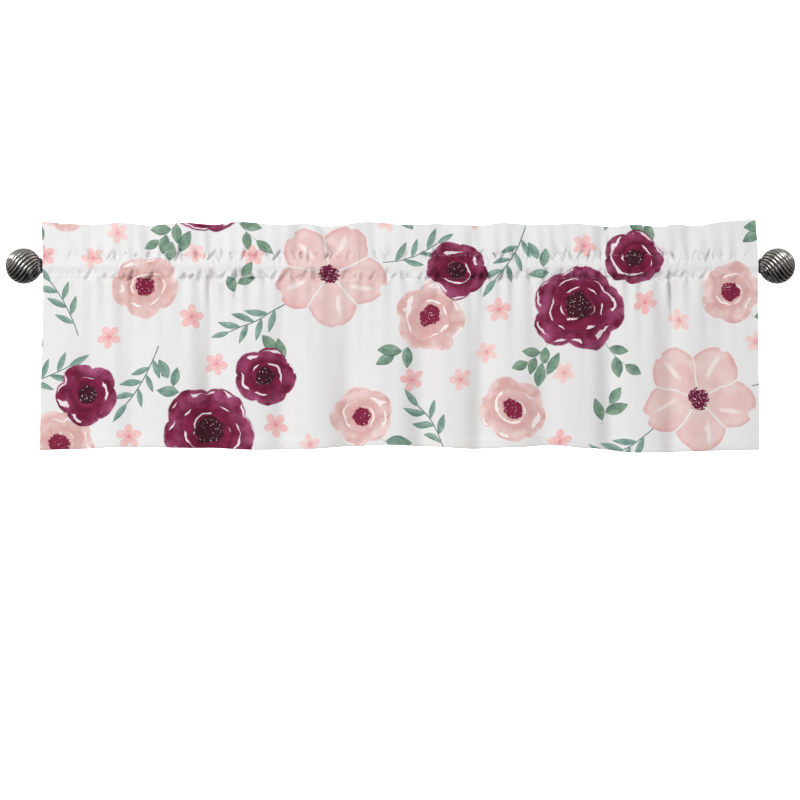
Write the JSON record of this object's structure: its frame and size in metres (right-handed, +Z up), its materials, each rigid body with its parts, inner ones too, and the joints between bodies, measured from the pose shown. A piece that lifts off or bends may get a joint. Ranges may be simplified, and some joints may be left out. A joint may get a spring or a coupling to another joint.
{
  "type": "window valance on a rod with two ball finials",
  "caption": "Short gathered cloth valance with a stand-up header and a rod pocket, hung on a round rod with a ribbed ball finial at each end.",
  "frame": {"origin": "on the rod's axis, halfway along the rod, which is where the wall brackets hold it", "axes": "+X along the rod towards the viewer's right, +Z up, the cloth's printed face looks along -Y and the wall is on the +Y side"},
  "size_m": [1.333, 0.0606, 0.393],
  "materials": {
    "printed_cloth": "brushed woven polyester, white with a printed watercolour flower pattern in blush pink, coral, burgundy and grey-green",
    "rod_steel": "dark pewter finish, satin",
    "finial_pewter": "antique dark pewter, polished on the ribs and dark in the grooves"
  },
  "bodies": {
    "root": {"valance": "printed_cloth", "rod": "rod_steel", "finial_neck_left": "finial_pewter", "finial_neck_right": "finial_pewter", "finial_ball_left": "finial_pewter", "finial_ball_right": "finial_pewter"}
  },
  "joints": []
}
